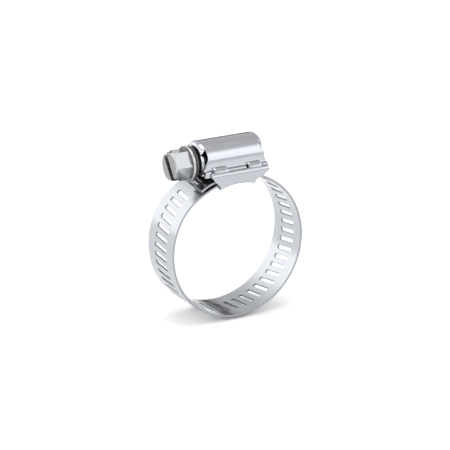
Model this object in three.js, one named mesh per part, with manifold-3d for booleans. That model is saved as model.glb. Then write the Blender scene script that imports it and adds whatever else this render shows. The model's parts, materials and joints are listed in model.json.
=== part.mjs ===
// Worm-drive hose clamp: a perforated steel band closed by a hex-headed worm screw.
// Millimetres. The hose passes along Y through the origin, the screw lies along X with its head
// at -X, and +Z points from the ring's centre to the screw.
import * as THREE from 'three';
import { mergeVertices } from 'three/addons/utils/BufferGeometryUtils.js';
import Module from 'manifold-3d';

const wasm = await Module();
wasm.setup();

// Band: a thin strip with slanted slots, one slot for each 7.5 degrees of the ring.
const BAND_WIDTH = 12.7;
const BAND_THICK = 0.65;
const RING_RADIUS = 18.6;
const CELL = 7.5;
const CELL_EDGE = 0.75;
const SLOT_LENGTH = 6.2;
const SLOT_WIDTH = 1.15;
const SLOT_CORNER = 0.35;
const SLOT_SLANT = 7;
const SLOT_DEPTH = 4;

// The band bends, so it is made as links with a narrow slanted gap at each bending line.
const LINK_CELLS = 6;
const LINK_COUNT = 6;
const FIRST_HINGE = CELL * 7 + CELL_EDGE;
const LINK_GAP = 0.3;
const TAIL_END = 120.9;
const ANCHOR_HINGE = 108;
const ANCHOR_END = 84;

// Radii of the band where it overlaps itself at the top: the fixed end runs below the free end.
const LAYER_DROP = 0.75;
const TAIL_LIFT = 0.6;

// Screw, along X.
const SCREW_Z = 21.35;
const HEX_FLATS = 7;
const HEX_TURN = 55;
const HEX_FRONT = -16;
const HEX_CHAMFER = 0.5;
const FLANGE_RADIUS = 4.55;
const FLANGE_FRONT = -11.4;
const COLLAR_RADIUS = 4.35;
const COLLAR_FRONT = -10.6;
const NECK_RADIUS = 2.6;
const NECK_FRONT = -9.85;
const THREAD_FRONT = -7.7;
const THREAD_BACK = 6.4;
const THREAD_PITCH = 2.38;
const THREAD_RADIUS = 3.35;
const ROOT_RADIUS = 2.35;
const THREAD_CREST_ARC = 70;
const THREAD_FLANK_ARC = 35;
const THREAD_CREST_X = 0.958;
const TIP_RADIUS = 1.8;
const TIP_BACK = 8.5;
const DRIVE_SLOT_WIDTH = 1.6;
const DRIVE_SLOT_DEPTH = 1.6;

// Housing: a bent sheet tunnel over the worm, with shoulders and short skirts beside the band.
const SHEET = 0.8;
const HOUSING_FRONT = -9.2;
const HOUSING_BACK = 8.4;
const TUNNEL_RADIUS = 5.35;
const SHOULDER_Z = 20.4;
const SKIRT_Z = 18.9;
const SKIRT_Y = 6.4;
const SHOULDER_SHEET = 0.7;
const END_BEVEL = 0.7;
const NECK_BORE = 2.95;
const TIP_BORE = 2.1;

// Saddle: a channel under the band whose walls end in fingers bent over the housing's shoulders.
const WALL_Y = 7.3;
const WALL_THICK = 0.8;
const PLATE_RADIUS = 16.35;
const PLATE_THICK = 0.8;
const PLATE_X = [-5.56, 4.35];
const WALL_MID_X = [-6.96, 6.8];
const WALL_MID_Z = 17.4;
const WALL_TOP_X = [-7.8, 8.3];
const WALL_TOP_Z = 19.9;
const FINGER_X = [[-6.86, -3], [2.86, 6.5]];
const FINGER_TIP_Y = 5.6;
const FINGER_TOP_Z = 21.1;
const FINGER_UNDER_Z = 20.45;
const FINGER_ROUND = 0.5;

const rad = THREE.MathUtils.degToRad;

const bandSteel = new THREE.MeshStandardMaterial({ color: 0xc4c8d0, roughness: 0.32, metalness: 1 });
const saddleSteel = new THREE.MeshStandardMaterial({ color: 0xb6bac3, roughness: 0.3, metalness: 1 });
const housingSteel = new THREE.MeshStandardMaterial({ color: 0xcccdd8, roughness: 0.26, metalness: 1 });
const screwSteel = new THREE.MeshStandardMaterial({ color: 0x8f9290, roughness: 0.42, metalness: 1 });

// A closed three.js geometry as a solid that can be joined and cut.
function solid(geometry) {
  const bare = geometry.clone();
  bare.deleteAttribute('normal');
  bare.deleteAttribute('uv');
  const merged = mergeVertices(bare, 1e-5);
  const mesh = new wasm.Mesh({
    numProp: 3,
    vertProperties: new Float32Array(merged.attributes.position.array),
    triVerts: new Uint32Array(merged.index.array),
  });
  return new wasm.Manifold(mesh);
}

function geometryOf(body) {
  const mesh = body.getMesh();
  const geometry = new THREE.BufferGeometry();
  geometry.setAttribute('position', new THREE.BufferAttribute(new Float32Array(mesh.vertProperties), 3));
  geometry.setIndex(new THREE.BufferAttribute(new Uint32Array(mesh.triVerts), 1));
  const facets = geometry.toNonIndexed();
  facets.computeVertexNormals();
  return facets;
}

function shapeOf(points) {
  return new THREE.Shape(points.map(([x, y]) => new THREE.Vector2(x, y)));
}

// An outline in X and Z, extruded along Y from y0 to y1.
function acrossY(shape, y0, y1) {
  const geometry = new THREE.ExtrudeGeometry(shape, { depth: y1 - y0, bevelEnabled: false, curveSegments: 8 });
  geometry.rotateX(Math.PI / 2);
  geometry.translate(0, y1, 0);
  return solid(geometry);
}

// An outline in Y and Z, extruded along X from x0 to x1, with an optional bevel at both ends.
function alongX(shape, x0, x1, bevel = 0) {
  const geometry = new THREE.ExtrudeGeometry(shape, {
    depth: x1 - x0 - 2 * bevel,
    bevelEnabled: bevel > 0,
    bevelThickness: bevel,
    bevelSize: bevel,
    bevelOffset: -bevel,
    bevelSegments: 2,
    curveSegments: 16,
  });
  const turn = new THREE.Matrix4().makeBasis(
    new THREE.Vector3(0, 1, 0), new THREE.Vector3(0, 0, 1), new THREE.Vector3(1, 0, 0));
  geometry.applyMatrix4(turn);
  geometry.translate(x0 + bevel, 0, 0);
  return solid(geometry);
}

function cylinderAlongX(radius, x0, x1, sides = 32) {
  const geometry = new THREE.CylinderGeometry(radius, radius, x1 - x0, sides);
  geometry.rotateZ(-Math.PI / 2);
  geometry.translate((x0 + x1) / 2, 0, SCREW_Z);
  return solid(geometry);
}

// Local axes on the ring at an angle from +X towards +Z: tangent, Y and outward radius.
function onRing(angle, radius) {
  const out = new THREE.Vector3(Math.cos(rad(angle)), 0, Math.sin(rad(angle)));
  const along = new THREE.Vector3(0, 1, 0);
  const tangent = along.clone().cross(out);
  return new THREE.Matrix4().makeBasis(tangent, along, out).setPosition(out.multiplyScalar(radius));
}

function slotCutter(angle) {
  const w = SLOT_WIDTH / 2;
  const l = SLOT_LENGTH / 2;
  const c = SLOT_CORNER;
  const outline = shapeOf([
    [-w, -l + c], [-w + c, -l], [w - c, -l], [w, -l + c],
    [w, l - c], [w - c, l], [-w + c, l], [-w, l - c],
  ]);
  const geometry = new THREE.ExtrudeGeometry(outline, { depth: SLOT_DEPTH, bevelEnabled: false });
  geometry.translate(0, 0, -SLOT_DEPTH / 2);
  geometry.rotateZ(-rad(SLOT_SLANT));
  geometry.applyMatrix4(onRing(angle, RING_RADIUS - BAND_THICK / 2));
  return solid(geometry);
}

// A block that trims a strip's end along the slots' slant. side is 1 towards rising angles.
function endCutter(angle, side, gap) {
  const length = 8;
  const geometry = new THREE.BoxGeometry(length, BAND_WIDTH * 2, SLOT_DEPTH);
  geometry.translate(-side * (length / 2 - gap / 2), 0, 0);
  geometry.rotateZ(-rad(SLOT_SLANT));
  geometry.applyMatrix4(onRing(angle, RING_RADIUS - BAND_THICK / 2));
  return solid(geometry);
}

// Band strip between two angles, low to high. Cell edges become the facet edges, so each slot
// lies inside one facet. radiusAt gives the strip's outer radius at an angle.
function bandStrip({ low, high, radiusAt, slotsFrom, slotsTo, lowGap, highGap }) {
  const overrun = 4.5;
  const angles = [];
  const firstEdge = Math.ceil((low - CELL_EDGE) / CELL + 0.01) * CELL + CELL_EDGE;
  angles.push(lowGap === null ? low : low - overrun);
  for (let edge = firstEdge; edge < high - 0.01; edge += CELL) {
    if (edge - angles.at(-1) > 1) angles.push(edge);
  }
  if (lowGap !== null) angles.splice(1, 0, ...(Math.abs(angles[1] - low) < 0.01 ? [] : [low]));
  angles.push(high);
  if (highGap !== null) angles.push(high + overrun);
  const at = (angle, radius) => [radius * Math.cos(rad(angle)), radius * Math.sin(rad(angle))];
  const outer = angles.map((angle) => at(angle, radiusAt(angle)));
  const inner = angles.map((angle) => at(angle, radiusAt(angle) - BAND_THICK)).reverse();
  let strip = acrossY(shapeOf([...outer, ...inner]), -BAND_WIDTH / 2, BAND_WIDTH / 2);
  for (let angle = slotsFrom; angle < slotsTo; angle += CELL) {
    strip = strip.subtract(slotCutter(angle + CELL / 2));
  }
  if (lowGap !== null) strip = strip.subtract(endCutter(low, -1, lowGap));
  if (highGap !== null) strip = strip.subtract(endCutter(high, 1, highGap));
  return geometryOf(strip);
}

function ramp(angle, start, end, from, to) {
  const t = THREE.MathUtils.clamp((angle - start) / (end - start), 0, 1);
  return from + (to - from) * t;
}

// The free end rises clear of the fixed band as it leaves the housing under the screw's head.
function freeRadius(angle) {
  return RING_RADIUS + ramp(angle, 98.25, 113.25, 0, TAIL_LIFT);
}

// The ring's left side dips towards the saddle to pass under the free end.
function ringRadius(angle) {
  const climb = 360 + angle;
  if (angle > 0) return RING_RADIUS;
  if (climb < 143.25) return RING_RADIUS - ramp(climb, 113.25, 143.25, LAYER_DROP - 0.02, 0.07);
  return RING_RADIUS - ramp(climb, 143.25, 150.75, 0.07, 0);
}

function freeEnd() {
  return bandStrip({
    low: FIRST_HINGE,
    high: TAIL_END,
    radiusAt: freeRadius,
    slotsFrom: FIRST_HINGE,
    slotsTo: TAIL_END - CELL,
    lowGap: LINK_GAP,
    highGap: null,
  });
}

function link(index) {
  const high = FIRST_HINGE - LINK_CELLS * CELL * index;
  const low = high - LINK_CELLS * CELL;
  return bandStrip({
    low,
    high,
    radiusAt: ringRadius,
    slotsFrom: low,
    slotsTo: high - 0.01,
    lowGap: LINK_GAP,
    highGap: LINK_GAP,
  });
}

function anchorLink() {
  const high = FIRST_HINGE - LINK_CELLS * CELL * LINK_COUNT;
  const low = ANCHOR_HINGE - 360;
  return bandStrip({
    low,
    high,
    radiusAt: ringRadius,
    slotsFrom: 113.25 - 360,
    slotsTo: high - 0.01,
    lowGap: LINK_GAP,
    highGap: LINK_GAP,
  });
}

function fixedEnd() {
  return bandStrip({
    low: ANCHOR_END,
    high: ANCHOR_HINGE,
    radiusAt: () => RING_RADIUS - LAYER_DROP,
    slotsFrom: 0,
    slotsTo: 0,
    lowGap: null,
    highGap: LINK_GAP,
  });
}

// The worm: a cam-shaped section twisted once per pitch, which makes a right-hand thread.
function worm() {
  const section = [];
  const half = THREAD_CREST_ARC / 2;
  const foot = half + THREAD_FLANK_ARC;
  const marks = [-half, -half / 3, half / 3, half, foot];
  for (let a = foot + 22; a < 360 - foot - 10; a += 24) marks.push(a);
  marks.push(360 - foot);
  for (const a of marks) {
    const radius = Math.abs(a) <= half ? THREAD_RADIUS : ROOT_RADIUS;
    section.push([radius * Math.cos(rad(a)), radius * Math.sin(rad(a))]);
  }
  const length = THREAD_BACK - THREAD_FRONT;
  const steps = Math.round(length / THREAD_PITCH * 15);
  const geometry = new THREE.ExtrudeGeometry(shapeOf(section), { depth: length, steps, bevelEnabled: false });
  geometry.deleteAttribute('normal');
  geometry.deleteAttribute('uv');
  const position = geometry.attributes.position;
  for (let i = 0; i < position.count; i += 1) {
    const x = position.getZ(i) + THREAD_FRONT;
    const turn = -Math.PI / 2 + (x - THREAD_CREST_X) / THREAD_PITCH * 2 * Math.PI;
    const y = position.getX(i) * Math.cos(turn) - position.getY(i) * Math.sin(turn);
    const z = position.getX(i) * Math.sin(turn) + position.getY(i) * Math.cos(turn);
    position.setXYZ(i, x, y, z + SCREW_Z);
  }
  return solid(geometry);
}

// Hex head with a rounded front, crossed by one driver slot from corner to corner.
function hexHead() {
  const corner = HEX_FLATS / Math.sqrt(3);
  const hex = new THREE.CylinderGeometry(corner, corner, FLANGE_FRONT - HEX_FRONT, 6);
  hex.rotateZ(-Math.PI / 2);
  hex.rotateX(rad(HEX_TURN - 90));
  hex.translate((HEX_FRONT + FLANGE_FRONT) / 2, 0, SCREW_Z);
  const face = HEX_FLATS / 2 - 0.05;
  const dome = new THREE.LatheGeometry([
    new THREE.Vector2(0, HEX_FRONT),
    new THREE.Vector2(face, HEX_FRONT),
    new THREE.Vector2(corner + 0.1, HEX_FRONT + HEX_CHAMFER),
    new THREE.Vector2(corner + 0.1, FLANGE_FRONT + 0.1),
    new THREE.Vector2(0, FLANGE_FRONT + 0.1),
  ], 36);
  dome.rotateZ(-Math.PI / 2);
  dome.translate(0, 0, SCREW_Z);
  const slot = new THREE.BoxGeometry(DRIVE_SLOT_DEPTH * 2, corner * 2.4, DRIVE_SLOT_WIDTH);
  slot.rotateX(rad(HEX_TURN));
  slot.translate(HEX_FRONT, 0, SCREW_Z);
  return solid(hex).intersect(solid(dome)).subtract(solid(slot));
}

function screw() {
  const parts = [
    cylinderAlongX(FLANGE_RADIUS, FLANGE_FRONT - 0.01, COLLAR_FRONT),
    cylinderAlongX(COLLAR_RADIUS, COLLAR_FRONT - 0.1, NECK_FRONT),
    cylinderAlongX(NECK_RADIUS, NECK_FRONT - 0.1, THREAD_FRONT + 0.1),
    worm(),
    cylinderAlongX(TIP_RADIUS, THREAD_BACK - 0.1, TIP_BACK),
  ];
  return geometryOf(parts.reduce((body, part) => body.add(part), hexHead()));
}

// Tunnel outline: a half round of the given radius on straight sides down to a level.
function tunnelOutline(radius, bottom) {
  const outline = new THREE.Shape();
  outline.moveTo(-radius, bottom);
  outline.lineTo(radius, bottom);
  outline.lineTo(radius, SCREW_Z);
  outline.absarc(0, SCREW_Z, radius, 0, Math.PI, false);
  outline.closePath();
  return outline;
}

function box(x0, x1, y0, y1, z0, z1) {
  const geometry = new THREE.BoxGeometry(x1 - x0, y1 - y0, z1 - z0);
  geometry.translate((x0 + x1) / 2, (y0 + y1) / 2, (z0 + z1) / 2);
  return solid(geometry);
}

function housing() {
  const inFront = HOUSING_FRONT + SHEET;
  const inBack = HOUSING_BACK - SHEET;
  const skirtInside = SKIRT_Y - SHOULDER_SHEET;
  const shoulderUnder = SHOULDER_Z - SHOULDER_SHEET;
  const shell = alongX(tunnelOutline(TUNNEL_RADIUS, SKIRT_Z), HOUSING_FRONT, HOUSING_BACK, END_BEVEL)
    .add(box(HOUSING_FRONT, HOUSING_BACK, -SKIRT_Y, SKIRT_Y, SKIRT_Z, SHOULDER_Z));
  const cavity = alongX(tunnelOutline(TUNNEL_RADIUS - SHEET, SKIRT_Z - 1), inFront, inBack)
    .add(box(inFront, inBack, -skirtInside, skirtInside, SKIRT_Z - 1, shoulderUnder));
  return geometryOf(shell
    .subtract(cavity)
    .subtract(cylinderAlongX(NECK_BORE, HOUSING_FRONT - 1, inFront + 0.5))
    .subtract(cylinderAlongX(TIP_BORE, inBack - 0.5, HOUSING_BACK + 1)));
}

// One wall of the saddle: arched below to follow the plate, wider at the top.
function wallOutline() {
  const ends = PLATE_X.map((x) => Math.acos(x / PLATE_RADIUS));
  const outline = new THREE.Shape();
  outline.absarc(0, 0, PLATE_RADIUS, ends[0], ends[1], true);
  outline.lineTo(PLATE_X[1], WALL_MID_Z);
  outline.lineTo(WALL_MID_X[1], WALL_MID_Z);
  outline.lineTo(WALL_TOP_X[1], WALL_TOP_Z - 0.5);
  outline.lineTo(WALL_TOP_X[1], WALL_TOP_Z);
  outline.lineTo(WALL_TOP_X[0], WALL_TOP_Z);
  outline.lineTo(WALL_TOP_X[0], WALL_TOP_Z - 0.5);
  outline.lineTo(WALL_MID_X[0], WALL_MID_Z);
  outline.lineTo(PLATE_X[0], WALL_MID_Z);
  outline.closePath();
  return outline;
}

function plateOutline() {
  const ends = PLATE_X.map((x) => Math.acos(x / PLATE_RADIUS));
  const outline = new THREE.Shape();
  outline.absarc(0, 0, PLATE_RADIUS, ends[0], ends[1], true);
  outline.absarc(0, 0, PLATE_RADIUS + PLATE_THICK, ends[1], ends[0], false);
  outline.closePath();
  return outline;
}

// A finger rises from the wall's top and folds inwards over the housing's shoulder.
function finger([x0, x1], side) {
  const inside = WALL_Y - WALL_THICK;
  const outline = shapeOf([
    [side * WALL_Y, WALL_TOP_Z - 0.3],
    [side * WALL_Y, FINGER_TOP_Z - FINGER_ROUND],
    [side * (WALL_Y - FINGER_ROUND * 0.3), FINGER_TOP_Z - FINGER_ROUND * 0.3],
    [side * (WALL_Y - FINGER_ROUND), FINGER_TOP_Z],
    [side * FINGER_TIP_Y, FINGER_TOP_Z],
    [side * FINGER_TIP_Y, FINGER_UNDER_Z],
    [side * inside, FINGER_UNDER_Z],
    [side * inside, WALL_TOP_Z - 0.3],
  ]);
  return alongX(outline, x0, x1);
}

function saddle() {
  let body = acrossY(plateOutline(), -WALL_Y, WALL_Y);
  for (const side of [-1, 1]) {
    const y0 = side < 0 ? -WALL_Y : WALL_Y - WALL_THICK;
    body = body.add(acrossY(wallOutline(), y0, y0 + WALL_THICK));
    for (const span of FINGER_X) body = body.add(finger(span, side));
  }
  return geometryOf(body);
}

const clamp = new THREE.Group();
clamp.name = 'hose_clamp';

function addPiece(name, geometry, material) {
  const mesh = new THREE.Mesh(geometry, material);
  mesh.name = name;
  clamp.add(mesh);
}

addPiece('housing', housing(), housingSteel);
addPiece('saddle', saddle(), saddleSteel);
addPiece('worm_screw', screw(), screwSteel);
addPiece('band_fixed_end', fixedEnd(), bandSteel);
addPiece('band_free_end', freeEnd(), bandSteel);
for (let i = 0; i < LINK_COUNT; i += 1) addPiece(`band_link_${i + 1}`, link(i), bandSteel);
addPiece(`band_link_${LINK_COUNT + 1}`, anchorLink(), bandSteel);

export default clamp;
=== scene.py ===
"""Worm-drive hose clamp: the looks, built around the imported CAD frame.

Meshes are worked out in millimetres and stored in metres. Angles on the ring run from +X towards
+Z about the hose's axis, which is Y. The screw lies along X above the ring.
"""

import json
import math

import bmesh
import bpy
from mathutils import Matrix, Vector


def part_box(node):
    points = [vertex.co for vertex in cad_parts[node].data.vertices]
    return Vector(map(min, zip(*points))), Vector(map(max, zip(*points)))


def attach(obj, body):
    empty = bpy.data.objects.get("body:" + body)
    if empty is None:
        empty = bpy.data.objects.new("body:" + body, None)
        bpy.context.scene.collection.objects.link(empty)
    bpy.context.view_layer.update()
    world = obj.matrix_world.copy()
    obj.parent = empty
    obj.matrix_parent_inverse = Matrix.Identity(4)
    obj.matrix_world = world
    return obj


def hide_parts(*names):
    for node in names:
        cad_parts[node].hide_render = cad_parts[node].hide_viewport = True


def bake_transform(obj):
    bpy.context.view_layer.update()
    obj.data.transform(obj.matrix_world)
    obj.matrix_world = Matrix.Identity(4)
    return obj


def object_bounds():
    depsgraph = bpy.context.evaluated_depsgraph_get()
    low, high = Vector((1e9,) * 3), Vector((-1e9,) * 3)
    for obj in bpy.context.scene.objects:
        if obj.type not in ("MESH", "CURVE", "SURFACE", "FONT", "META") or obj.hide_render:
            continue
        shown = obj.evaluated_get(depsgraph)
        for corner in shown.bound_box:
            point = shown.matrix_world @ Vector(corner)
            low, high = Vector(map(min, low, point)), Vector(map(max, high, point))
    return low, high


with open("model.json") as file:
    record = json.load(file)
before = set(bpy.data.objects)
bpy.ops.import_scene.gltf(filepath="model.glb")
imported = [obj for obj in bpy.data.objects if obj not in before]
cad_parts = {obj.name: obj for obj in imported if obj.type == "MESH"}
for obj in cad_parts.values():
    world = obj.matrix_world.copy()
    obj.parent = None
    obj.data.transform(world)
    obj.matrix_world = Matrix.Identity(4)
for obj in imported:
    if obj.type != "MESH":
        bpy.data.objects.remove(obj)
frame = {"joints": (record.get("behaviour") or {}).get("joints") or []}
cad_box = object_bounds()
joints = {joint["name"]: joint for joint in frame["joints"]}

MM = 0.001

# Band: a thin strip with one slanted slot in each cell of the ring.
BAND_WIDTH = 12.7
BAND_THICK = 0.55
BAND_ROUND = 0.13
RING_RADIUS = -cad_box[0][2] / MM - 0.02
MID_RADIUS = RING_RADIUS - BAND_THICK / 2
CELL = 7.5
SLOT_LENGTH = 5.85
SLOT_WIDTH = 0.94
SLOT_CORNER = 0.42
SLANT = math.radians(7)
SIDE_STEPS = 8
CORNER_STEPS = 3
END_STEPS = 2 * CORNER_STEPS + 1
STRIP_UV = 0.05
# The edges and slot walls use darker steels than the band's faces: a rougher cut finish, with painted
# shade in their colour.
BAND_FACE, BAND_EDGE_SHADED, SLOT_WALL_SHADED = range(3)

# Where the strip lies on the ring, in degrees, and how many cells each stretch of it has.
LAYER_DROP = 0.8
DIP_SPAN = (209.25, 246.75)
TAIL_LIFT = 0.5
TAIL_RISE = (100, 118)
TAIL_CELLS = 6
LINKS = 7
LINK_CELLS = 6
LAST_LINK_CELLS = 5
LINK_SPAN = LINK_CELLS * CELL
HIDDEN_SPAN = 20.2
FIXED_SPAN = (84.2, 107.6)

# Screw, along X. An outline point of its head's dome is (distance behind the front, radius).
SCREW_Z = joints["screw_turn"]["pos_m"][2] / MM
HEX_FLATS = 7.0
HEX_TURN = 55.0
HEX_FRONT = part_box("worm_screw")[0][0] / MM
HEX_DOME = ((0.0, 0.0), (0.02, 2.6), (0.08, 3.45), (0.2, 3.78))
DOME_END = 0.44
DOME_CLEARANCE = 0.12
HEAD_OVERLAP = 0.1
TURNED_DEPTH = 0.08
DRIVE_SLOT_WIDTH = 1.6
DRIVE_SLOT_DEPTH = 1.6
FLANGE_FRONT = -11.4
# The fillet zone, FILLET_DEPTH deep and within FILLET_RADIUS, and the drive slot get a dark steel: painted
# shade in these hollows.
FILLET_DEPTH = 0.29
FILLET_RADIUS = 4.2
# Behind this X the screw gets a near-black steel: painted shade under and inside the housing.
DEEP_SHADE_FROM = -10.7
TURN_STEPS = 72
THREAD_SPAN = (-7.6, 6.4)
THREAD_PITCH = 2.38
THREAD_CREST_X = 0.958
THREAD_RADIUS = 3.33
ROOT_RADIUS = 2.35
THREAD_STEPS = 36
THREAD_FADE = 0.6
# The screw's materials: its flats' steel, then darker steels that are painted shade under the housing, on
# the turned front and in the hollows.
SCREW_FLATS, SCREW_DEEP_SHADE, SCREW_TURNED_FACE_SHADE, SCREW_GROOVE_SHADE = range(4)

# Housing: a drawn sheet tunnel with an end wall folded down at each end. Pairs are (front, back).
# The slits between the walls and the tunnel end at SLIT_TOP, in degrees above the screw's axis.
SHEET = 0.75
HOUSING_X = (-9.2, 8.4)
TUNNEL_RADIUS = 5.35
SHOULDER_Z = 20.4
SHOULDER_Y = 6.4
SKIRT_Z = 18.95
WALL_HALF = 4.45
SLIT_TOP = 50.0
SLIT_FADE = 16.0
SLIT_OPENING = (0.15, 0.1)
ARC_SETBACK = (0.7, 0.35)
ROOF_SETBACK = (0.6, 0.85)
BORES = (2.95, 2.1)
ARC_STEPS = 36
WALL_STEPS = 5
NOTCH_STEP = 0.9
NOTCHES = ((-7.7, -6.95), (2.1, 2.8), (6.55, 6.75))

# Saddle: a channel of sheet under the band, with fingers folded over the housing's shoulders.
# The wall's rows are (height, X of the front edge, X of the rear edge).
SADDLE_SHEET = 0.75
WALL_Y = 7.28
PLATE_RADIUS = 16.38
FLANGE_BEND = 0.7
PLATE_X = (-5.5, 4.3)
WALL_MID = (17.7, -6.9, 6.75)
WALL_TOP = (18.85, -7.75, 8.25)
FOLD_RADIUS = 1.2
FINGERS = ((-6.8, -3.05), (2.9, 6.45))
FINGER_SLOPE = ((6.56, 20.12), (6.32, 20.4), (6.0, 20.74), (5.7, 20.98))

# Studio: brightness of its walls on the left, on the right and in front of the clamp, against the
# height of the direction. The spans are the directions over which one wall gives way to the next.
WORLD_STRENGTH = 2.2
WALL_LEFT = ((0.0, 0.8), (0.1, 0.93), (0.47, 0.9), (0.62, 0.62), (0.87, 0.42), (1.0, 0.5))
WALL_RIGHT = ((0.0, 0.5), (0.09, 0.5), (0.12, 0.03), (0.24, 0.03), (0.35, 0.32), (0.46, 0.4),
              (0.69, 0.36), (0.87, 0.36), (1.0, 0.5))
WALL_FRONT = ((0.0, 0.5), (0.09, 0.5), (0.14, 0.35), (0.26, 0.85), (0.66, 0.9), (0.76, 0.42),
              (0.87, 0.36), (1.0, 0.5))
LEFT_TO_RIGHT = (-0.35, 0.3)
SIDES_TO_FRONT = (0.15, -0.3)
SOFTBOX_HEIGHT = 1.2
SOFTBOX_SIZE = 0.9
SOFTBOX_POWER = 5.0

# Floor, in mm. The ring sags by about this much when the screw is loosened by one turn.
LOOSENED_SAG = 0.7
FLOOR_SIZE = 3000
FLOOR_WHITE = 0.92

# Camera: turned from the clamp's near side, raised, and placed (right, up, back) in mm.
CAMERA_TURN = -30.04
CAMERA_RISE = 19
CAMERA_LENS = 168
CAMERA_PLACE = (-0.185, 3.42, 524.4)


# ---------------------------------------------------------------------------- mesh helpers


class Shell:
    """Collects faces in mm whose corners carry their own normals, and joins corners that meet."""

    def __init__(self):
        self.points = []
        self.index = {}
        self.faces = []
        self.normals = []
        self.strip = []
        self.material = []

    def corner(self, point):
        key = tuple(round(value, 4) for value in point)
        if key not in self.index:
            self.index[key] = len(self.points)
            self.points.append(point)
        return self.index[key]

    def face(self, corners, material):
        """corners are (point, normal, strip coordinates) in order round the face."""
        kept = []
        for corner in corners:
            number = self.corner(corner[0])
            if number not in [k for k, _ in kept]:
                kept.append((number, corner))
        if len(kept) < 3:
            return
        facing = area_vector([corner[0] for _, corner in kept])
        if facing.dot(sum((Vector(corner[1]) for _, corner in kept), Vector())) < 0:
            kept.reverse()
        self.faces.append([number for number, _ in kept])
        self.normals.extend(corner[1] for _, corner in kept)
        self.strip.extend(corner[2] for _, corner in kept)
        self.material.append(material)

    def build(self, name, materials):
        mesh = bpy.data.meshes.new(name)
        mesh.from_pydata([Vector(p) * MM for p in self.points], [], self.faces)
        for polygon, material in zip(mesh.polygons, self.material):
            polygon.use_smooth = True
            polygon.material_index = material
        layer = mesh.uv_layers.new(name="strip")
        for loop, (s, y) in zip(layer.data, self.strip):
            loop.uv = (s, y)
        for material in materials:
            mesh.materials.append(material)
        mesh.normals_split_custom_set([Vector(n).normalized() for n in self.normals])
        obj = bpy.data.objects.new(name, mesh)
        bpy.context.scene.collection.objects.link(obj)
        return obj


def area_vector(points):
    """Twice a face's area along its geometric normal."""
    total = Vector()
    for here, there in zip(points, points[1:] + points[:1]):
        total += Vector(here).cross(Vector(there))
    return total


def new_object(name, bm, materials=()):
    """An object from a bmesh, still in mm, so that modifiers work at a good scale."""
    mesh = bpy.data.meshes.new(name)
    bm.to_mesh(mesh)
    bm.free()
    for material in materials:
        mesh.materials.append(material)
    obj = bpy.data.objects.new(name, mesh)
    bpy.context.scene.collection.objects.link(obj)
    return obj


def apply_modifiers(obj, smooth_angle):
    """Replaces obj's mesh by its modified one, smooth except where it turns sharply."""
    bpy.context.view_layer.update()
    evaluated = obj.evaluated_get(bpy.context.evaluated_depsgraph_get())
    mesh = bpy.data.meshes.new_from_object(evaluated)
    obj.modifiers.clear()
    obj.data = mesh
    for polygon in mesh.polygons:
        polygon.use_smooth = True
    mesh.set_sharp_from_angle(angle=math.radians(smooth_angle))


def combine(obj, other, operation):
    """Cuts obj by other, or keeps what the two share. The other is then removed."""
    modifier = obj.modifiers.new(operation, "BOOLEAN")
    modifier.operation = operation
    modifier.solver = "EXACT"
    modifier.use_hole_tolerant = True
    modifier.object = other
    apply_modifiers(obj, 32)
    bpy.data.objects.remove(other)


def join(obj, *others):
    """Adds the others' faces to obj. Each stays a closed body of its own."""
    bm = bmesh.new()
    for part in (obj, *others):
        bm.from_mesh(part.data)
    bm.to_mesh(obj.data)
    bm.free()
    for part in others:
        bpy.data.objects.remove(part)


def bevel(obj, width, angle, segments):
    modifier = obj.modifiers.new("edges", "BEVEL")
    modifier.width = width
    modifier.segments = segments
    modifier.limit_method = "ANGLE"
    modifier.angle_limit = math.radians(angle)


def solidify(obj, thickness, inside=0):
    """Thickens a sheet inwards. inside is added to the material index of the new inner faces."""
    modifier = obj.modifiers.new("sheet", "SOLIDIFY")
    modifier.thickness = thickness
    modifier.offset = -1
    modifier.material_offset = inside
    modifier.use_even_offset = False


def to_metres(obj):
    """Turns obj's mesh from mm into metres."""
    obj.data.transform(Matrix.Scale(MM, 4))
    return obj


def stand_for(obj, body, node_name):
    """obj rides on a body, and is shown in place of a CAD node."""
    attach(to_metres(obj), body)
    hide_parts(node_name)


def face_out(bm, probe, direction):
    """Makes the faces of an open sheet point the way that the face nearest probe should."""
    bmesh.ops.recalc_face_normals(bm, faces=bm.faces)
    nearest = min(bm.faces, key=lambda f: (f.calc_center_median() - Vector(probe)).length)
    if nearest.normal.dot(Vector(direction)) < 0:
        bmesh.ops.reverse_faces(bm, faces=bm.faces)


def smoothstep(value, low, high):
    """Goes from 0 at low to 1 at high with no kink at either."""
    t = min(max((value - low) / (high - low), 0), 1)
    return t * t * (3 - 2 * t)


def lathe(profile):
    """A closed body turned about the screw's axis. profile lists (x, radius) from end to end."""
    bm = bmesh.new()
    rings = []
    for x, radius in profile:
        if radius == 0:
            rings.append([bm.verts.new((x, 0, SCREW_Z))])
            continue
        turns = [2 * math.pi * k / TURN_STEPS for k in range(TURN_STEPS)]
        rings.append([bm.verts.new((x, radius * math.cos(a), SCREW_Z + radius * math.sin(a)))
                      for a in turns])
    for low, high in zip(rings, rings[1:]):
        for k in range(TURN_STEPS):
            n = (k + 1) % TURN_STEPS
            loop = []
            for vertex in (low[k % len(low)], low[n % len(low)], high[n % len(high)], high[k % len(high)]):
                if vertex not in loop:
                    loop.append(vertex)
            bm.faces.new(loop)
    bmesh.ops.recalc_face_normals(bm, faces=bm.faces)
    return bm


# ---------------------------------------------------------------------------- band


def ring_radius(angle):
    """Outer radius of the ring, which dips on the left to pass under its own free end."""
    if angle > 0:
        return RING_RADIUS
    return RING_RADIUS - LAYER_DROP * smoothstep(-angle, *DIP_SPAN)


def free_radius(angle):
    """Outer radius of the free end, which rises a little towards its tip."""
    return RING_RADIUS + TAIL_LIFT * smoothstep(angle, *TAIL_RISE)


def fixed_radius(_angle):
    """Outer radius of the fixed end, the same all along it."""
    return RING_RADIUS - LAYER_DROP


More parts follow.
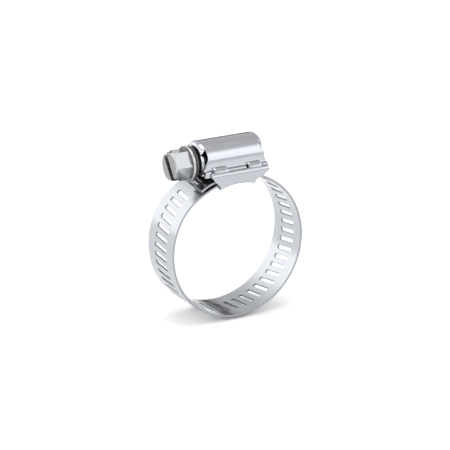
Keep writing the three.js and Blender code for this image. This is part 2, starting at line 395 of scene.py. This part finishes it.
def rounding():
    """Steps down a cut edge: inset, depth below the outer face, and normal outwards and sideways."""
    steps = []
    for turn in (0, 45, 90):
        c, s = math.cos(math.radians(turn)), math.sin(math.radians(turn))
        steps.append((BAND_ROUND * (1 - s), BAND_ROUND * (1 - c), c, s))
    lower = [(inset, BAND_THICK - depth, -out, side) for inset, depth, out, side in reversed(steps)]
    return steps + lower


def slot_outline(grow):
    """Round one slot: (across the slot, along it, normal across, normal along), grown by grow."""
    half, reach, corner = SLOT_WIDTH / 2 + grow, SLOT_LENGTH / 2 + grow, SLOT_CORNER + grow
    points = []
    for side in (1, -1):
        for k in range(SIDE_STEPS):
            along = side * (reach - corner) * (2 * k / SIDE_STEPS - 1)
            points.append((side * half, along, side, 0))
        for centre, first in ((1, 0), (-1, 90)):
            for k in range(CORNER_STEPS):
                turn = math.radians(first + 90 * k / CORNER_STEPS)
                c, s = math.cos(turn), math.sin(turn)
                points.append((side * (centre * (half - corner) + corner * c),
                               side * (reach - corner + corner * s), side * c, side * s))
            if centre == 1:
                points.append((side * (half - corner), side * reach, 0, side))
    return points


def cell_outline(low, high, inset):
    """Round one cell between two mid-web lines, matched point for point with slot_outline."""
    edge = BAND_WIDTH / 2 - inset
    points = []
    for side in (1, -1):
        here = high if side == 1 else low
        there = low if side == 1 else high
        for k in range(SIDE_STEPS):
            points.append((here, side * edge * (2 * k / SIDE_STEPS - 1)))
        for k in range(END_STEPS):
            points.append((here + (there - here) * k / END_STEPS, side * edge))
    return points


class Strip:
    """Places points of a flat strip on the ring: u runs against the angle, w runs along Y."""

    def __init__(self, radius_at):
        self.radius_at = radius_at

    def angle(self, centre, u):
        """The ring's angle at a distance u from the one called centre."""
        return centre - math.degrees(u / MID_RADIUS)

    def place(self, centre, u, w, depth, normal):
        """A corner for Shell.face. normal is (outwards, along u, along w)."""
        angle = self.angle(centre, u)
        a = math.radians(angle)
        radius = self.radius_at(angle) - depth
        point = (radius * math.cos(a), w, radius * math.sin(a))
        out, along, across = normal
        direction = (out * math.cos(a) + along * math.sin(a), across,
                     out * math.sin(a) - along * math.cos(a))
        return point, direction, (a * MID_RADIUS * STRIP_UV, w * STRIP_UV)

    def slot_ring(self, centre, inset, depth, out, side):
        """One line of corners round a slot, at one step of its rounded edge."""
        ring = []
        for p, q, across, along in slot_outline(inset):
            u = p * math.cos(SLANT) + q * math.sin(SLANT)
            w = q * math.cos(SLANT) - p * math.sin(SLANT)
            nu = -side * (across * math.cos(SLANT) + along * math.sin(SLANT))
            nw = -side * (along * math.cos(SLANT) - across * math.sin(SLANT))
            ring.append(self.place(centre, u, w, depth, (out, nu, nw)))
        return ring

    def cell_ring(self, centre, low, high, inset, depth, out, side=0.0):
        """One line of corners round a cell, at one step of the strip's rounded edge."""
        return [self.place(centre, e + w * math.tan(SLANT), w, depth,
                           (out, 0, math.copysign(side, w)))
                for e, w in cell_outline(low, high, inset)]

    def slotted(self, shell, centre, low, high):
        """One cell with its slot: faces above and below, the slot's wall and both rolled edges."""
        steps = rounding()
        rings = [self.slot_ring(centre, *step) for step in steps]
        for upper, lower in zip(rings, rings[1:]):
            bridge(shell, lower, upper, SLOT_WALL_SHADED)
        for out, ring in ((1, rings[0]), (-1, rings[-1])):
            depth = 0 if out == 1 else BAND_THICK
            bridge(shell, self.cell_ring(centre, low, high, BAND_ROUND, depth, out), ring, BAND_FACE)
        self.edges(shell, centre, low, high)

    def plain(self, shell, centre, low, high):
        """One cell with no slot."""
        edge = BAND_WIDTH / 2 - BAND_ROUND
        for out in (1, -1):
            depth = 0 if out == 1 else BAND_THICK
            rows = []
            for k in range(SIDE_STEPS + 1):
                w = edge * (2 * k / SIDE_STEPS - 1)
                rows.append([self.place(centre, high + (low - high) * j / END_STEPS
                                        + w * math.tan(SLANT), w, depth, (out, 0, 0))
                             for j in range(END_STEPS + 1)])
            for lower, upper in zip(rows, rows[1:]):
                for j in range(END_STEPS):
                    shell.face([lower[j], upper[j], upper[j + 1], lower[j + 1]], BAND_FACE)
        self.edges(shell, centre, low, high)

    def edges(self, shell, centre, low, high):
        """The strip's two rounded edges along one cell."""
        rings = [self.cell_ring(centre, low, high, *step) for step in rounding()]
        count = SIDE_STEPS + END_STEPS
        for upper, lower in zip(rings, rings[1:]):
            for first in (SIDE_STEPS, count + SIDE_STEPS):
                for k in range(first, first + END_STEPS):
                    n = (k + 1) % len(upper)
                    shell.face([upper[k], upper[n], lower[n], lower[k]], BAND_EDGE_SHADED)

    def cap(self, shell, centre, low, high, side):
        """Closes the strip at its high end of u, or at its low end if side is -1."""
        first = 0 if side == 1 else SIDE_STEPS + END_STEPS
        rows = []
        for step in rounding():
            ring = self.cell_ring(centre, low, high, *step)
            rows.append(ring[first:first + SIDE_STEPS + 1])
        inner = rows[1:-1]
        outline = rows[0] + [row[-1] for row in inner]
        outline += rows[-1][::-1] + [row[0] for row in reversed(inner)]
        angle = math.radians(self.angle(centre, high if side == 1 else low))
        tilt = math.cos(SLANT) * side
        normal = (tilt * math.sin(angle), -side * math.sin(SLANT), -tilt * math.cos(angle))
        shell.face([(point, normal, strip) for point, _, strip in reversed(outline)], BAND_EDGE_SHADED)


def bridge(shell, outer, inner, material):
    """Faces between two closed lines of corners that match point for point."""
    for k in range(len(outer)):
        n = (k + 1) % len(outer)
        shell.face([outer[k], outer[n], inner[n], inner[k]], material)


def band_piece(name, high, cells, radius_at, materials, slotted=True):
    """A strip from the angle high downwards. cells lists how many degrees each of its cells spans."""
    strip = Strip(radius_at)
    shell = Shell()
    make_cell = strip.slotted if slotted else strip.plain
    places = []
    for cell in cells:
        places.append((high - cell / 2, math.radians(cell / 2) * MID_RADIUS))
        high -= cell
    for centre, half in places:
        make_cell(shell, centre, -half, half)
    for (centre, half), side in ((places[0], -1), (places[-1], 1)):
        strip.cap(shell, centre, -half, half, side)
    return shell.build(name, materials)


def make_band(materials):
    """The free end rides its own body and the fixed end stays. The ring's pieces stay where they are
    built, save the last, which rides link_7.
    """
    x, _, z = joints["band_bend_1"]["pos_m"]
    first = math.degrees(math.atan2(z, x))
    start = first + LINK_SPAN / 2
    tail = band_piece("band_free", start + TAIL_CELLS * CELL, [CELL] * TAIL_CELLS, free_radius, materials)
    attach(tail, "free_end")
    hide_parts("band_free_end")
    for k in range(LINKS):
        after = f"link_{k + 1}"
        cells = LINK_CELLS if k < LINKS - 1 else LAST_LINK_CELLS
        high = start - LINK_SPAN * k
        piece = band_piece(f"band_{k + 1}", high, [CELL] * cells, ring_radius, materials)
        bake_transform(piece)
        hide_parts(after.replace("link", "band_link"))
    # The rest of the ring, from the last link to the fixed end.
    hidden = band_piece("band_8", high - cells * CELL, [HIDDEN_SPAN], ring_radius, materials)
    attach(hidden, "link_7")
    low, high = FIXED_SPAN
    fixed = band_piece("band_fixed", high, [high - low], fixed_radius, materials, slotted=False)
    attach(fixed, "frame")
    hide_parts("band_fixed_end")


# ---------------------------------------------------------------------------- screw


def hex_prism(front, back, corner):
    """A six-sided bar along the screw's axis."""
    bm = bmesh.new()
    turns = [math.radians(HEX_TURN + 60 * k) for k in range(6)]
    rings = []
    for x in (front, back):
        ring = [bm.verts.new((x, corner * math.cos(a), SCREW_Z + corner * math.sin(a))) for a in turns]
        bm.faces.new(ring)
        rings.append(ring)
    near, far = rings
    for k in range(6):
        n = (k + 1) % 6
        bm.faces.new([near[k], near[n], far[n], far[k]])
    bmesh.ops.recalc_face_normals(bm, faces=bm.faces)
    return new_object("head", bm)


def drive_slot_cutter():
    """A bar across the head, turned with the hex, that cuts the drive slot."""
    bm = bmesh.new()
    bmesh.ops.create_cube(bm, size=1)
    size = Matrix.Diagonal((2 * DRIVE_SLOT_DEPTH, 12, DRIVE_SLOT_WIDTH, 1))
    turn = Matrix.Rotation(math.radians(HEX_TURN), 4, "X")
    bm.transform(Matrix.Translation((HEX_FRONT, 0, SCREW_Z)) @ turn @ size)
    return new_object("drive_slot", bm)


def hex_head():
    """The hex, rounded off in front by a turned dome, with the drive slot across it."""
    corner = HEX_FLATS / math.sqrt(3)
    back = FLANGE_FRONT + HEAD_OVERLAP
    head = hex_prism(HEX_FRONT - 1, back, corner)
    dome = [(HEX_FRONT + behind, radius) for behind, radius in HEX_DOME]
    dome += [(HEX_FRONT + DOME_END, corner + DOME_CLEARANCE), (back + 1, corner + DOME_CLEARANCE),
             (back + 1, 0)]
    combine(head, new_object("dome", lathe(dome)), "INTERSECT")
    combine(head, drive_slot_cutter(), "DIFFERENCE")
    bevel(head, 0.11, 28, 2)
    apply_modifiers(head, 24)
    return head


def flange_and_shank():
    """Flange with a concave fillet in front, a groove, a collar, the plain neck, root and tip."""
    front = FLANGE_FRONT
    profile = [(front - 0.6, 0), (front - 0.6, 3.3), (front - 0.28, 3.42)]
    for k in range(6):
        turn = math.radians(90 * k / 5)
        profile.append((front - 0.28 + 0.3 * math.sin(turn), 3.95 - 0.5 * math.cos(turn)))
    profile += [(front + 0.03, 4.38), (front + 0.12, 4.5), (front + 0.28, 4.53), (front + 0.5, 4.53),
                (front + 0.64, 4.46), (front + 0.72, 4.3), (front + 0.76, 4.02), (front + 0.86, 4.02),
                (front + 0.92, 4.2), (front + 1.02, 4.32), (front + 1.38, 4.33), (front + 1.5, 4.24),
                (front + 1.55, 4.05), (front + 1.55, 2.72), (front + 1.65, 2.6), (-7.8, 2.6),
                (-7.55, ROOT_RADIUS), (6.4, ROOT_RADIUS), (6.75, 1.8), (8.2, 1.8), (8.45, 1.55),
                (8.45, 0)]
    return new_object("shank", lathe(profile))


def thread():
    """The worm's ridge: a rounded trapezoid along a right-hand helix, sinking in at both ends."""
    section = [(-0.62, -0.25), (-0.5, 0.1), (-0.3, 0.78), (-0.18, 0.95), (0, 1.0), (0.18, 0.95),
               (0.3, 0.78), (0.5, 0.1), (0.62, -0.25)]
    rise = THREAD_RADIUS - ROOT_RADIUS
    start, end = THREAD_SPAN
    count = round((end - start) / THREAD_PITCH * THREAD_STEPS)
    fade_steps = THREAD_STEPS * THREAD_FADE
    bm = bmesh.new()
    rings = []
    for k in range(count + 1):
        x = start + (end - start) * k / count
        turn = -math.pi / 2 + (x - THREAD_CREST_X) / THREAD_PITCH * 2 * math.pi
        fade = min(smoothstep(k, 0, fade_steps), smoothstep(count - k, 0, fade_steps))
        ring = []
        for dx, height in section:
            radius = ROOT_RADIUS + rise * (height * (0.05 + 0.95 * fade) if height > 0 else height)
            ring.append(bm.verts.new((x + dx, radius * math.cos(turn), SCREW_Z + radius * math.sin(turn))))
        rings.append(ring)
    for low, high in zip(rings, rings[1:]):
        for j in range(len(section)):
            n = (j + 1) % len(section)
            bm.faces.new([low[j], low[n], high[n], high[j]])
    bm.faces.new(rings[0])
    bm.faces.new(rings[-1])
    bmesh.ops.recalc_face_normals(bm, faces=bm.faces)
    return new_object("thread", bm)


def in_drive_slot(point):
    """Whether a face of the head with its centre at point is one of the drive slot's."""
    turn = math.radians(HEX_TURN)
    across = (point.z - SCREW_Z) * math.cos(turn) - point.y * math.sin(turn)
    return HEX_FRONT + 0.15 < point.x < HEX_FRONT + DRIVE_SLOT_DEPTH + 0.1 and \
        abs(across) < DRIVE_SLOT_WIDTH / 2 + 0.01


def screw_finish_and_shade(point):
    """Which of the screw's materials a face with its centre at point has: the flats' steel, or a darker
    one that is painted shade behind the flange, in the hollows or on the turned front.
    """
    radius = math.hypot(point.y, point.z - SCREW_Z)
    # From the flange's groove back: painted shade under the housing.
    if point.x > DEEP_SHADE_FROM:
        return SCREW_DEEP_SHADE
    # The drive slot and the fillet zone: painted shade in these hollows.
    if in_drive_slot(point) or (point.x > FLANGE_FRONT - FILLET_DEPTH and radius < FILLET_RADIUS):
        return SCREW_GROOVE_SHADE
    # The turned front: painted shade.
    if point.x < HEX_FRONT + TURNED_DEPTH:
        return SCREW_TURNED_FACE_SHADE
    return SCREW_FLATS


def make_screw(materials):
    """One piece: the head, the turned flange and shank, and the thread."""
    screw = hex_head()
    join(screw, flange_and_shank(), thread())
    screw.name = "screw"
    screw.data.materials.clear()
    for material in materials:
        screw.data.materials.append(material)
    apply_modifiers(screw, 26)
    for polygon in screw.data.polygons:
        polygon.material_index = screw_finish_and_shade(polygon.center)
    stand_for(screw, "screw", "worm_screw")


# ---------------------------------------------------------------------------- housing


def arc_points(cy, cz, radius, first, last, steps):
    """Points of an arc in Y and Z, from one angle to another."""
    turns = [math.radians(first + (last - first) * k / steps) for k in range(steps + 1)]
    return [(cy + radius * math.cos(t), cz + radius * math.sin(t)) for t in turns]


def tunnel_rows():
    """The tunnel's outline in Y and Z from the near skirt over the top to the far skirt."""
    corner = 0.35
    fillet = 0.5
    near = [(-SHOULDER_Y, SKIRT_Z), (-SHOULDER_Y, (SKIRT_Z + SHOULDER_Z - corner) / 2)]
    near += arc_points(-SHOULDER_Y + corner, SHOULDER_Z - corner, corner, 180, 90, 4)
    near += arc_points(-TUNNEL_RADIUS - fillet, SHOULDER_Z + fillet, fillet, 270, 360, 4)
    top = arc_points(0, SCREW_Z, TUNNEL_RADIUS, 180, 0, ARC_STEPS)
    far = [(-y, z) for y, z in reversed(near)]
    return near, top, far


def tunnel_ends(y, z, on_arc):
    """Where the tunnel's sheet starts and ends in X at a point of its outline."""
    climb = math.degrees(math.atan2(z - SCREW_Z, abs(y)))
    if on_arc:
        arc, roof = 1, smoothstep(climb, 0, SLIT_TOP * 0.5)
        slit = math.sin(math.pi * min(climb / SLIT_TOP, 1)) ** 0.7
    else:
        arc, roof, slit = smoothstep(z, SHOULDER_Z, SCREW_Z), 0, 0
    front, back = [share_a * arc + share_r * roof + share_s * slit
                   for share_a, share_r, share_s in zip(ARC_SETBACK, ROOF_SETBACK, SLIT_OPENING)]
    return HOUSING_X[0] + front, HOUSING_X[1] - back


def tunnel_columns(start, end):
    """X stations: fixed ones at the notches, and the sheet's own ends."""
    keys = sorted({x for notch in NOTCHES for x in notch})
    columns = [start]
    for low, high in zip(keys, keys[1:]):
        steps = max(1, round((high - low) / NOTCH_STEP))
        columns += [low + (high - low) * k / steps for k in range(steps)]
    return columns + [keys[-1], end]


def tunnel_sheet(bm):
    """The tunnel and its skirts as one sheet, left open at the notches."""
    near, top, far = tunnel_rows()
    rows = []
    for points, on_arc in ((near, False), (top, True), (far, False)):
        for y, z in points:
            stations = tunnel_columns(*tunnel_ends(y, z, on_arc))
            rows.append(([bm.verts.new((x, y, z)) for x in stations], y))
    for (low, y0), (high, y1) in zip(rows, rows[1:]):
        beside = min(abs(y0), abs(y1)) > TUNNEL_RADIUS + 0.1
        for k in range(len(low) - 1):
            middle = (low[k].co.x + low[k + 1].co.x + high[k].co.x + high[k + 1].co.x) / 4
            if beside and any(a < middle < b for a, b in NOTCHES):
                continue
            bm.faces.new([low[k], low[k + 1], high[k + 1], high[k]])


def wall_leg(bm, outside, side, bore, stations, top_row):
    """One straight leg of an end wall, from the screw's height down to the skirt's."""
    rows = [top_row]
    for k in range(1, WALL_STEPS + 1):
        down = (SCREW_Z - SKIRT_Z) * k / WALL_STEPS
        inner = math.sqrt(max(bore * bore - down * down, 0.04))
        widening = (WALL_HALF - inner) / (WALL_HALF - bore)
        rows.append([bm.verts.new((outside, side * (inner + widening * (r - bore)), SCREW_Z - down))
                     for r in stations])
    join_rows(bm, rows)


def end_wall(bm, outside, inward, bore):
    """The wall at one end. Above the slits it bends into the tunnel's roof, below them it is flat."""
    roof_x = tunnel_ends(0, SCREW_Z + TUNNEL_RADIUS, True)[0 if inward > 0 else 1]
    bend = abs(roof_x - outside)
    turns = [math.radians(90 * k / WALL_STEPS) for k in range(WALL_STEPS + 1)]
    bent = [(bore, 0), ((bore + TUNNEL_RADIUS - bend) / 2, 0)]
    bent += [(TUNNEL_RADIUS - bend * (1 - math.sin(t)) * 0.75, bend * (1 - math.cos(t))) for t in turns]
    flat = [bore + (WALL_HALF - bore) * (k / (len(bent) - 1)) ** 0.8 for k in range(len(bent))]
    rows = []
    for k in range(ARC_STEPS + 1):
        turn = math.radians(180 - 180 * k / ARC_STEPS)
        climb = math.degrees(math.atan2(math.sin(turn), abs(math.cos(turn))))
        bending = smoothstep(climb, SLIT_TOP - SLIT_FADE, SLIT_TOP)
        row = []
        for (radius, depth), flat_radius in zip(bent, flat):
            r = flat_radius + (radius - flat_radius) * bending
            x = outside + inward * depth * bending
            row.append(bm.verts.new((x, r * math.cos(turn), SCREW_Z + r * math.sin(turn))))
        rows.append(row)
    for side, row in ((-1, rows[0]), (1, rows[-1])):
        wall_leg(bm, outside, side, bore, flat, row)
    join_rows(bm, rows)


def join_rows(bm, rows):
    """Faces between neighbouring rows of vertices that match one for one."""
    for low, high in zip(rows, rows[1:]):
        for k in range(len(low) - 1):
            bm.faces.new([low[k], low[k + 1], high[k + 1], high[k]])


def make_housing(materials):
    """One drawn sheet. Its inner faces have the second material, a near-black steel that is painted shade
    inside the tunnel.
    """
    bm = bmesh.new()
    tunnel_sheet(bm)
    end_wall(bm, HOUSING_X[0], 1, BORES[0])
    end_wall(bm, HOUSING_X[1], -1, BORES[1])
    bmesh.ops.remove_doubles(bm, verts=bm.verts, dist=0.01)
    face_out(bm, (0, 0, SCREW_Z + TUNNEL_RADIUS), (0, 0, 1))
    housing = new_object("housing_shell", bm, materials)
    solidify(housing, SHEET, inside=1)
    bevel(housing, 0.14, 50, 3)
    apply_modifiers(housing, 40)
    stand_for(housing, "frame", "housing")


# ---------------------------------------------------------------------------- saddle


def arch(x):
    """Height of the plate's underside, which follows the band, at x."""
    return math.sqrt(PLATE_RADIUS ** 2 - x ** 2)


def saddle_rows():
    """Rows of one half from the plate's middle out: (y, height above the arch, x ends)."""
    rows = [(y, 0.0, PLATE_X) for y in (0.0, 1.6, 3.2, 4.8, WALL_Y - FLANGE_BEND)]
    for k in range(1, 6):
        turn = math.radians(90 * k / 5)
        rows.append((WALL_Y - FLANGE_BEND * (1 - math.sin(turn)), FLANGE_BEND * (1 - math.cos(turn)),
                     PLATE_X))
    return rows


def saddle_columns(start, end):
    """X stations from edge to edge that line up with the fingers."""
    _, low, high = WALL_TOP
    shares = [0.0] + [(x - low) / (high - low) for finger in FINGERS for x in finger] + [1.0]
    columns = []
    for a, b in zip(shares, shares[1:]):
        steps = max(1, round((b - a) * 16))
        columns += [a + (b - a) * k / steps for k in range(steps)]
    columns.append(1.0)
    return [start + (end - start) * share for share in columns]


def saddle_half(bm, side):
    """Half of the plate, its bend up into the wall, the wall, and the fold at the wall's top."""
    mid_z, mid_a, mid_b = WALL_MID
    top_z, top_a, top_b = WALL_TOP
    rows = []
    for y, lift, ends in saddle_rows():
        rows.append([bm.verts.new((x, side * y, arch(x) + lift)) for x in saddle_columns(*ends)])
    foot = rows[-1]
    for share in (0.35, 0.7, 1.0):
        ends = [a + (b - a) * share ** 1.6 for a, b in zip(PLATE_X, (mid_a, mid_b))]
        rows.append([bm.verts.new((x, side * WALL_Y, low.co.z + (mid_z - low.co.z) * share))
                     for x, low in zip(saddle_columns(*ends), foot)])
    for share in (0.33, 0.67, 1.0):
        ends = [a + (b - a) * share for a, b in zip((mid_a, mid_b), (top_a, top_b))]
        rows.append([bm.verts.new((x, side * WALL_Y, mid_z + (top_z - mid_z) * share))
                     for x in saddle_columns(*ends)])
    for turn in [math.radians(15 * k) for k in range(1, 5)]:
        rows.append([bm.verts.new((x, side * (WALL_Y - FOLD_RADIUS * (1 - math.cos(turn))),
                                   top_z + FOLD_RADIUS * math.sin(turn)))
                     for x in saddle_columns(top_a, top_b)])
    join_rows(bm, rows)
    saddle_fingers(bm, side, rows[-1])


def saddle_fingers(bm, side, fold):
    """Fingers that go on from the fold, up the slope over the housing's shoulder."""
    for first, last in FINGERS:
        finger = [[v for v in fold if first - 0.02 <= v.co.x <= last + 0.02]]
        for y, z in FINGER_SLOPE:
            finger.append([bm.verts.new((v.co.x, side * y, z)) for v in finger[0]])
        join_rows(bm, finger)


def make_saddle(material):
    """One sheet: the plate under the band, both walls and their fingers."""
    bm = bmesh.new()
    for side in (-1, 1):
        saddle_half(bm, side)
    bmesh.ops.remove_doubles(bm, verts=bm.verts, dist=0.01)
    face_out(bm, (0, 0, PLATE_RADIUS - 1), (0, 0, -1))
    saddle = new_object("saddle_sheet", bm, [material])
    solidify(saddle, SADDLE_SHEET)
    bevel(saddle, 0.13, 50, 3)
    apply_modifiers(saddle, 40)
    stand_for(saddle, "frame", "saddle")


# ---------------------------------------------------------------------------- materials


def node(tree, kind, **inputs):
    """A new node with some of its inputs set. An underscore stands for a space in an input's name."""
    made = tree.nodes.new(kind)
    for name, value in inputs.items():
        made.inputs[name.replace("_", " ")].default_value = value
    return made


def steel(name, color, roughness, coordinates, stretch, streak=0.04, tint=0.06, spread=0.12):
    """Bright steel: streaks stretched one way, faint smudges and tiny pits."""
    material = bpy.data.materials.new(name)
    material.use_nodes = True
    tree = material.node_tree
    tree.nodes.clear()
    link = tree.links.new
    output = tree.nodes.new("ShaderNodeOutputMaterial")
    shader = node(tree, "ShaderNodeBsdfPrincipled", Metallic=1.0)
    link(shader.outputs["BSDF"], output.inputs["Surface"])
    place = tree.nodes.new("ShaderNodeTexCoord")
    along = node(tree, "ShaderNodeMapping", Scale=stretch)
    link(place.outputs[coordinates], along.inputs["Vector"])
    grain = node(tree, "ShaderNodeTexNoise", Scale=1.0, Detail=6.0, Roughness=0.7)
    link(along.outputs["Vector"], grain.inputs["Vector"])
    smudge = node(tree, "ShaderNodeTexNoise", Scale=140.0, Detail=3.0, Roughness=0.55)
    link(place.outputs["Object"], smudge.inputs["Vector"])
    pits = node(tree, "ShaderNodeTexNoise", Scale=2600.0, Detail=2.0, Roughness=0.5)
    link(place.outputs["Object"], pits.inputs["Vector"])
    # Roughness: the streaks and the smudges each move it a little about its mean.
    streaks = node(tree, "ShaderNodeMapRange", From_Min=0.3, From_Max=0.7,
                   To_Min=roughness - spread / 2, To_Max=roughness + spread / 2)
    link(grain.outputs["Fac"], streaks.inputs["Value"])
    haze = node(tree, "ShaderNodeMapRange", From_Min=0.35, From_Max=0.65, To_Min=-0.04, To_Max=0.05)
    link(smudge.outputs["Fac"], haze.inputs["Value"])
    total = tree.nodes.new("ShaderNodeMath")
    link(streaks.outputs["Result"], total.inputs[0])
    link(haze.outputs["Result"], total.inputs[1])
    link(total.outputs["Value"], shader.inputs["Roughness"])
    # Colour: slightly darker in the streaks and where the sheet was handled.
    ramp = tree.nodes.new("ShaderNodeValToRGB")
    ramp.color_ramp.elements[0].position = 0.3
    ramp.color_ramp.elements[1].position = 0.7
    ramp.color_ramp.elements[0].color = [c * (1 - tint) for c in color] + [1]
    ramp.color_ramp.elements[1].color = [min(c * (1 + tint * 0.6), 1) for c in color] + [1]
    blotch = node(tree, "ShaderNodeMix")
    blotch.data_type = "FLOAT"
    blotch.inputs[0].default_value = 0.4
    link(grain.outputs["Fac"], blotch.inputs[2])
    link(smudge.outputs["Fac"], blotch.inputs[3])
    link(blotch.outputs[0], ramp.inputs["Fac"])
    link(ramp.outputs["Color"], shader.inputs["Base Color"])
    bump = node(tree, "ShaderNodeBump", Strength=streak, Distance=0.0001)
    link(grain.outputs["Fac"], bump.inputs["Height"])
    dents = node(tree, "ShaderNodeBump", Strength=streak * 0.7, Distance=0.00005)
    link(pits.outputs["Fac"], dents.inputs["Height"])
    link(bump.outputs["Normal"], dents.inputs["Normal"])
    link(dents.outputs["Normal"], shader.inputs["Normal"])
    return material


# stretch scales the streaks' noise along each axis: they run along the axis where it is small.
STEELS = {
    "band_steel": dict(color=(0.43, 0.445, 0.47), roughness=0.19, coordinates="UV",
                       stretch=(0.6, 14.0, 1.0)),
    # The band's cut edges: rougher, and darker in colour, which is painted shade.
    "band_edge_shaded": dict(color=(0.33, 0.34, 0.36), roughness=0.34, coordinates="UV",
                      stretch=(2.0, 20.0, 1.0), streak=0.1),
    # The slots' walls: rougher, and darker in colour, which is painted shade.
    "slot_wall_shaded": dict(color=(0.3, 0.31, 0.33), roughness=0.4, coordinates="UV",
                      stretch=(9.0, 9.0, 1.0), streak=0.15),
    "housing_steel": dict(color=(0.47, 0.48, 0.515), roughness=0.15, coordinates="Object",
                          stretch=(150.0, 2600.0, 2600.0)),
    "saddle_steel": dict(color=(0.43, 0.445, 0.475), roughness=0.17, coordinates="Object",
                         stretch=(200.0, 2400.0, 2400.0)),
    "screw_steel": dict(color=(0.46, 0.47, 0.485), roughness=0.22, coordinates="Object",
                        stretch=(900.0, 900.0, 900.0), streak=0.05, tint=0.07, spread=0.1),
    # Near-black steel for the screw behind the flange and the housing's inner faces: painted shade.
    "deep_shade_steel": dict(color=(0.11, 0.11, 0.105), roughness=0.38, coordinates="Object",
                        stretch=(500.0, 500.0, 500.0), streak=0.2, tint=0.3, spread=0.25),
    # The hex's turned front: a rougher finish, and a darker colour that is painted shade.
    "turned_face_shade_steel": dict(color=(0.29, 0.295, 0.295), roughness=0.36, coordinates="Object",
                       stretch=(900.0, 900.0, 900.0), streak=0.2, tint=0.2, spread=0.2),
    # Dark steel in the drive slot and the flange's fillet: painted shade in these hollows.
    "groove_shade_steel": dict(color=(0.17, 0.172, 0.172), roughness=0.33, coordinates="Object",
                         stretch=(900.0, 900.0, 900.0), streak=0.1, tint=0.15, spread=0.15),
}


# ---------------------------------------------------------------------------- stage


def floor_paint():
    """Flat white with no gloss."""
    material = bpy.data.materials.new("floor_white")
    material.use_nodes = True
    shader = material.node_tree.nodes["Principled BSDF"]
    shader.inputs["Base Color"].default_value = (FLOOR_WHITE, FLOOR_WHITE, FLOOR_WHITE, 1)
    shader.inputs["Roughness"].default_value = 0.9
    shader.inputs["Specular IOR Level"].default_value = 0.0
    return material


def make_floor():
    """The floor leaves room for the ring, which sags when the screw is loosened."""
    bm = bmesh.new()
    bmesh.ops.create_grid(bm, x_segments=4, y_segments=4, size=FLOOR_SIZE)
    bm.transform(Matrix.Translation((0, 0, -RING_RADIUS - LOOSENED_SAG)))
    floor = to_metres(new_object("floor", bm, [floor_paint()]))


def make_softbox():
    """One soft square light straight overhead."""
    data = bpy.data.lights.new("top_softbox", "AREA")
    data.shape = "RECTANGLE"
    data.size = SOFTBOX_SIZE
    data.size_y = SOFTBOX_SIZE
    data.energy = SOFTBOX_POWER
    light = bpy.data.objects.new("top_softbox", data)
    light.location = (0, 0, SOFTBOX_HEIGHT)
    light.rotation_euler = Vector((0, 0, -1)).to_track_quat("-Z", "Y").to_euler()
    bpy.context.scene.collection.objects.link(light)


def height_ramp(tree, height, stops):
    """A grey ramp over the height of a direction, which runs from 0 at the horizon to 1 overhead."""
    ramp_node = tree.nodes.new("ShaderNodeValToRGB")
    ramp = ramp_node.color_ramp
    ramp.interpolation = "EASE"
    for index, (position, value) in enumerate(stops):
        element = ramp.elements[index] if index < 2 else ramp.elements.new(position)
        element.position = position
        element.color = (value, value, value, 1)
    tree.links.new(height, ramp_node.inputs["Fac"])
    return ramp_node.outputs["Color"]


def mix_walls(tree, coordinate, span, first, second):
    """Goes smoothly from the first wall to the second as a coordinate runs over span."""
    share = node(tree, "ShaderNodeMapRange", From_Min=span[0], From_Max=span[1])
    share.interpolation_type = "SMOOTHSTEP"
    tree.links.new(coordinate, share.inputs["Value"])
    mix = tree.nodes.new("ShaderNodeMix")
    mix.data_type = "RGBA"
    tree.links.new(share.outputs["Result"], mix.inputs[0])
    tree.links.new(first, mix.inputs[6])
    tree.links.new(second, mix.inputs[7])
    return mix.outputs[2]


def make_world():
    """A soft studio: a bright wall on the left, a calmer one on the right, and one in front."""
    world = bpy.data.worlds.new("studio")
    bpy.context.scene.world = world
    world.use_nodes = True
    tree = world.node_tree
    background = tree.nodes["Background"]
    place = tree.nodes.new("ShaderNodeTexCoord")
    split = tree.nodes.new("ShaderNodeSeparateXYZ")
    tree.links.new(place.outputs["Generated"], split.inputs["Vector"])
    left, right, front = [height_ramp(tree, split.outputs["Z"], stops)
                          for stops in (WALL_LEFT, WALL_RIGHT, WALL_FRONT)]
    sides = mix_walls(tree, split.outputs["X"], LEFT_TO_RIGHT, left, right)
    room = mix_walls(tree, split.outputs["Y"], SIDES_TO_FRONT, sides, front)
    tree.links.new(room, background.inputs["Color"])
    background.inputs["Strength"].default_value = WORLD_STRENGTH


def make_camera():
    """The photograph's angle: 30 degrees to the left of the near side, 19 degrees up."""
    turn, rise = math.radians(CAMERA_TURN), math.radians(CAMERA_RISE)
    back = Vector((math.sin(turn) * math.cos(rise), -math.cos(turn) * math.cos(rise), math.sin(rise)))
    right = Vector((math.cos(turn), math.sin(turn), 0))
    up = back.cross(right)
    data = bpy.data.cameras.new("camera")
    data.lens = CAMERA_LENS
    data.sensor_width = 36
    data.clip_start = 0.05
    camera = bpy.data.objects.new("camera", data)
    along_right, along_up, along_back = CAMERA_PLACE
    camera.location = (along_right * right + along_up * up + along_back * back) * MM
    camera.rotation_euler = back.to_track_quat("Z", "Y").to_euler()
    bpy.context.scene.collection.objects.link(camera)
    bpy.context.scene.camera = camera


def main():
    steels = {name: steel(name, **look) for name, look in STEELS.items()}
    make_band([steels[name] for name in ("band_steel", "band_edge_shaded", "slot_wall_shaded")])
    make_screw([steels[name] for name in ("screw_steel", "deep_shade_steel", "turned_face_shade_steel", "groove_shade_steel")])
    make_housing([steels[name] for name in ("housing_steel", "deep_shade_steel")])
    make_saddle(steels["saddle_steel"])
    make_floor()
    make_world()
    make_softbox()
    make_camera()
    bpy.context.scene.view_settings.view_transform = "Standard"


main()
